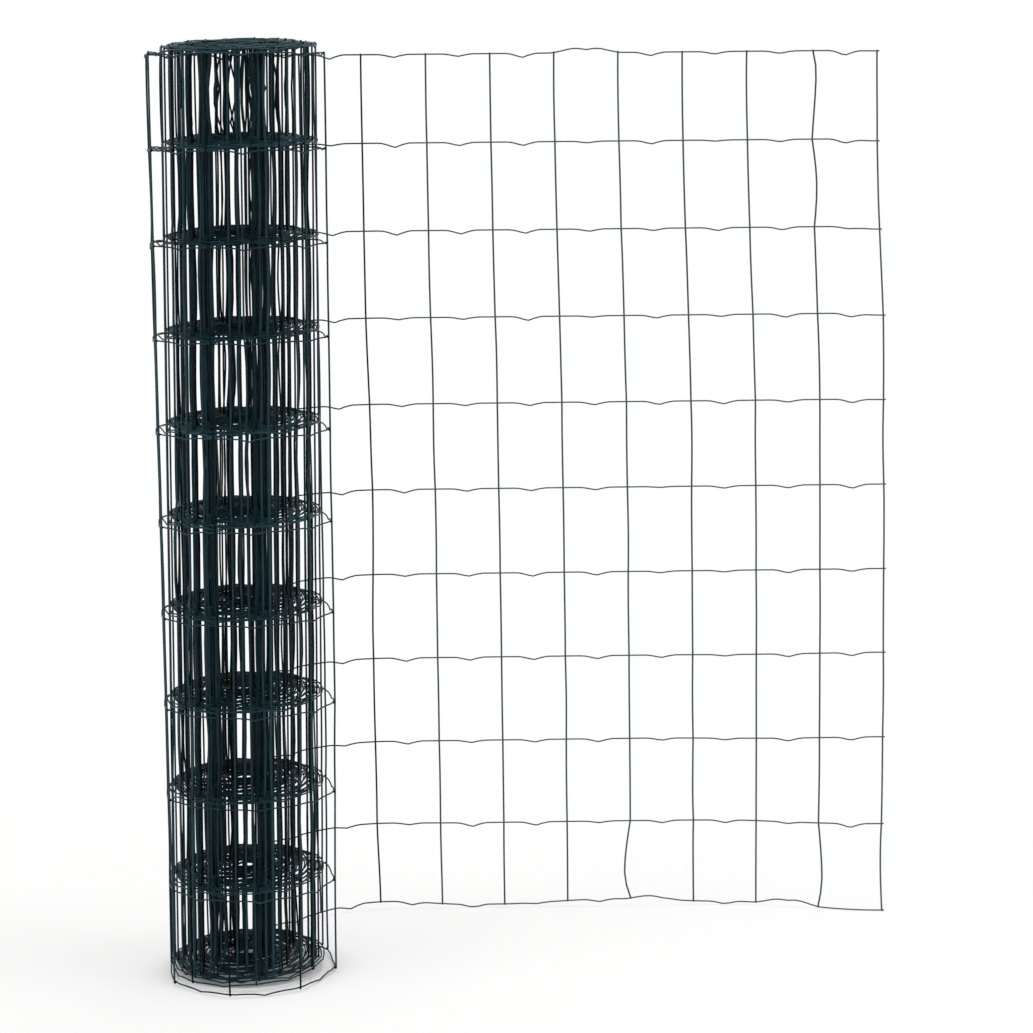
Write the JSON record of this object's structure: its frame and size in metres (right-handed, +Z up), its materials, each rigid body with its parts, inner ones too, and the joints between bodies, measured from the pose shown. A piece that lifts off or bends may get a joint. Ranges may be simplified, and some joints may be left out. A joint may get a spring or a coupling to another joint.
{
  "type": "roll of wire fencing",
  "caption": "Standing roll of green coated welded wire fencing with crimped line wires, its loose end drawn out as a flat sheet.",
  "frame": {"origin": "centre of the roll's lower end, on the floor", "axes": "+Z up along the roll's axis, +X along the drawn-out sheet towards its free edge, +Y from the roll back to the sheet"},
  "size_m": [0.8238, 0.3174, 1.0202],
  "materials": {
    "coated_wire": "dark green plastic coating on steel wire, satin"
  },
  "bodies": {
    "root": {"mesh_roll": "coated_wire", "lead_off": "coated_wire", "loose_end": "coated_wire"}
  },
  "joints": []
}
